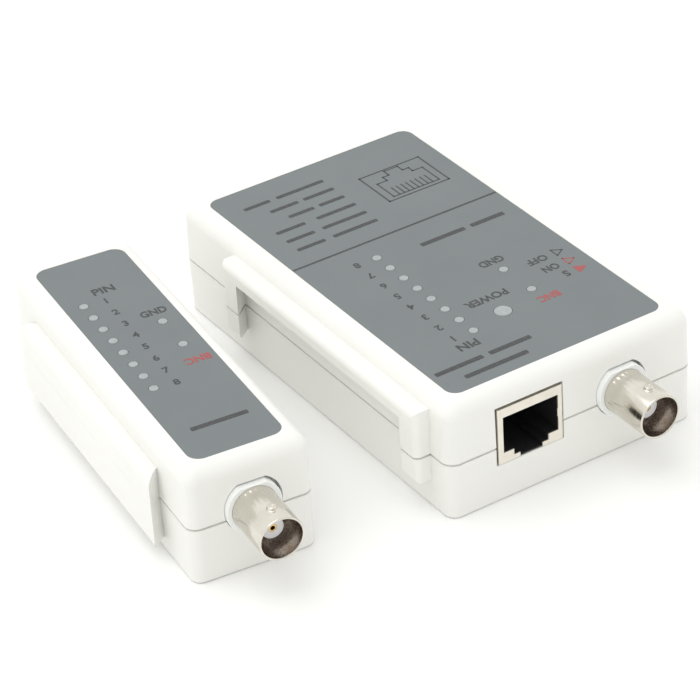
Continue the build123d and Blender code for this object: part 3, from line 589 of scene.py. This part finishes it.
class Print:
    """One ink on one label: marks are given in millimetres from the label's middle."""

    def __init__(self, name, place, top, finish, body):
        self.name = name
        self.place = place
        self.low = top
        self.high = top + INK_THICKNESS
        self.finish = finish
        self.body = body
        self.bm = bmesh.new()

    def bar(self, x0, x1, y0, y1, radius=0.15):
        outline = rounded_outline(x0 * MM, x1 * MM, y0 * MM, y1 * MM, radius * MM)
        prism(self.bm, outline, self.low, self.high, self.place)

    def shape(self, outline):
        points = [(x * MM, y * MM) for x, y in outline]
        prism(self.bm, points, self.low, self.high, self.place)

    def line(self, points, width, closed=False):
        """A line of even width along points, as one plate per run with square ends."""
        ends = list(zip(points, points[1:] + points[:1])) if closed else list(zip(points, points[1:]))
        half = width / 2
        for (xa, ya), (xb, yb) in ends:
            length = math.hypot(xb - xa, yb - ya)
            ux, uy = (xb - xa) / length * half, (yb - ya) / length * half
            self.shape([(xa - ux + uy, ya - uy - ux), (xb + ux + uy, yb + uy - ux),
                        (xb + ux - uy, yb + uy + ux), (xa - ux - uy, ya - uy + ux)])

    def text(self, body, x, y, height, width=None, turned=False):
        """Plain capitals or digits centred on (x, y), with their capital height and overall width."""
        curve = bpy.data.curves.new("letters", "FONT")
        curve.body = body
        curve.align_x = "CENTER"
        curve.align_y = "CENTER"
        curve.size = 1.0
        curve.offset = LETTER_WEIGHT
        curve.resolution_u = 3
        curve.extrude = 0.5
        holder = bpy.data.objects.new("letters", curve)
        bpy.context.collection.objects.link(holder)
        bpy.context.view_layer.update()
        mesh = bpy.data.meshes.new_from_object(holder.evaluated_get(bpy.context.evaluated_depsgraph_get()))
        xs = [v.co.x for v in mesh.vertices]
        ys = [v.co.y for v in mesh.vertices]
        tall = height * MM / (max(ys) - min(ys))
        wide = tall if width is None else width * MM / (max(xs) - min(xs))
        centre = Matrix.Translation((-(max(xs) + min(xs)) / 2, -(max(ys) + min(ys)) / 2, 0))
        spin = Matrix.Rotation(math.pi if turned else 0, 4, "Z")
        lift = Matrix.Translation((x * MM, y * MM, (self.low + self.high) / 2))
        size = Matrix.Diagonal((wide, tall, INK_THICKNESS, 1))
        mesh.transform(self.place @ lift @ spin @ size @ centre)
        self.bm.from_mesh(mesh)
        bpy.data.objects.remove(holder)
        bpy.data.curves.remove(curve)
        bpy.data.meshes.remove(mesh)

    def finish_piece(self):
        bmesh.ops.remove_doubles(self.bm, verts=self.bm.verts, dist=1e-7)
        add_piece(self.name, self.bm, self.finish, self.body)


def words(ink_print, y, spans, height):
    """A line of plain bars in place of a line of lettering; spans are (left, right) in mm."""
    for left, right in spans:
        ink_print.bar(left, right, y - height / 2, y + height / 2, radius=0.3)


# Millimetres from the middle of each label.
LAMP_PITCH = 5.08
MAIN_FIRST_DIGIT_Y = -30.28
REMOTE_FIRST_DIGIT_Y = 22.18
DIGIT_HEIGHT = 2.1
BAR_HEIGHT = 1.3
STANDARDS_BAR_HEIGHT = 1.1
STANDARDS_FIRST_Y = 18.3
STANDARDS_PITCH = 4.25
POINTER_LINE = 0.28
STANDARDS_BARS = (
    ((-20.9, -13.9), (-11.8, -0.6)),
    ((-20.9, -13.9), (-11.8, -0.6)),
    ((-20.9, -13.6), (-10.6, -0.6)),
    ((-15.0, -8.6), (-7.2, -0.8)),
    ((-17.1, -10.0), (-8.6, -0.8)),
    ((-21.2, -14.6), (-12.9, -0.8)),
)


def pointer(x, y, half, length):
    """Triangle whose base is at x and whose tip points towards +X."""
    return [(x, y + half), (x, y - half), (x + length, y)]


def main_label_print(dark, red):
    low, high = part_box("main_label")
    middle = (low + high) / 2
    place = Matrix.Translation((middle.x, middle.y, 0))
    black = Print("main_print_dark", place, high.z, dark, "main")
    for i in range(8):
        black.text(str(i + 1), -14.3, MAIN_FIRST_DIGIT_Y + LAMP_PITCH * i, DIGIT_HEIGHT, turned=True)
    black.text("PIN", -13.2, -34.0, 2.5, turned=True)
    black.text("GND", 8.8, -10.9, 2.4, 5.9, turned=True)
    black.text("POWER", -0.3, -22.1, 2.4, 10.2, turned=True)
    black.text("OFF", 16.7, -16.4, 2.3, 4.9, turned=True)
    black.text("ON", 17.2, -20.6, 2.3, 3.9, turned=True)
    black.text("S", 18.5, -24.4, 2.3, turned=True)
    black.line(pointer(21.2, -16.2, 1.3, 2.1), POINTER_LINE, closed=True)
    black.bar(-26.1, 26.1, 11.62, 12.18, radius=0.1)
    words(black, -39.2, [(-24.8, -13.2), (-11.6, -1.4)], BAR_HEIGHT)
    words(black, -43.3, [(-20.4, -5.0)], BAR_HEIGHT)
    words(black, 3.7, [(0.9, 12.2), (13.8, 22.4)], BAR_HEIGHT)
    socket_picture(black)
    for i, spans in enumerate(STANDARDS_BARS):
        words(black, STANDARDS_FIRST_Y + STANDARDS_PITCH * i, spans, STANDARDS_BAR_HEIGHT)
    black.finish_piece()
    accent = Print("main_print_red", place, high.z, red, "main")
    accent.text("BNC", 10.4, -29.3, 2.3, 5.2, turned=True)
    accent.line(pointer(21.2, -20.4, 1.3, 2.1), POINTER_LINE, closed=True)
    accent.shape(pointer(21.0, -24.4, 1.4, 2.6)[::-1])
    accent.finish_piece()


def socket_picture(black):
    """Line drawing of an eight-way socket."""
    black.line([(5.8, 22.9), (21.4, 22.9), (21.4, 35.1), (5.8, 35.1)], 0.38, closed=True)
    black.line([(7.7, 24.1), (19.6, 24.1), (19.6, 30.8), (17.1, 30.8), (17.1, 32.5), (15.5, 32.5),
                (15.5, 34.5), (11.9, 34.5), (11.9, 32.5), (10.3, 32.5), (10.3, 30.8), (7.7, 30.8)],
               0.34, closed=True)
    for i in range(8):
        x = 9.3 + 1.24 * i
        black.bar(x - 0.17, x + 0.17, 24.1, 27.7, radius=0.05)


def remote_place():
    """The remote's own frame: its label's middle, turned to its connectors' axis."""
    low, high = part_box("remote_label")
    middle = (low + high) / 2
    axis = find_mount("remote_bnc_mouth")["axis"]
    turn = math.atan2(axis[0], -axis[1])
    return Matrix.Translation((middle.x, middle.y, 0)) @ Matrix.Rotation(turn, 4, "Z"), high.z


def remote_label_print(dark, red):
    place, top = remote_place()
    black = Print("remote_print_dark", place, top, dark, "remote")
    for i in range(8):
        black.text(str(i + 1), -1.1, REMOTE_FIRST_DIGIT_Y - LAMP_PITCH * i, DIGIT_HEIGHT)
    black.text("PIN", 0.1, 26.4, 2.5)
    black.text("GND", 5.6, 12.9, 2.4, 5.8)
    words(black, -30.3, [(-5.8, 6.7)], BAR_HEIGHT)
    black.finish_piece()
    accent = Print("remote_print_red", place, top, red, "remote")
    accent.text("BNC", 6.1, -8.0, 2.4, 5.6, turned=True)
    accent.finish_piece()


# ---------------------------------------------------------------- assemble

make_camera()
make_stage()
finishes = slot_finishes()
dress_nodes(finishes)
dark_ink = ink("print_dark", DARK_INK)
red_ink = ink("print_red", RED_INK)
main_label_print(dark_ink, red_ink)
remote_label_print(dark_ink, red_ink)
# painted shade: darker, duller metal for the film inside each barrel's bore
painted_shade_bore = bare_metal("painted_shade_bore", (0.64, 0.56, 0.50), (0.46, 0.39, 0.34), 0.27)
for unit in ("main", "remote"):
    bnc_barrel(f"{unit}_bnc_shell", f"{unit}_bnc_mouth", unit, f"{unit}_bnc_barrel", finishes["nickel"])
    bnc_shade_lining(f"{unit}_bnc_shade_lining", f"{unit}_bnc_mouth", unit, painted_shade_bore)
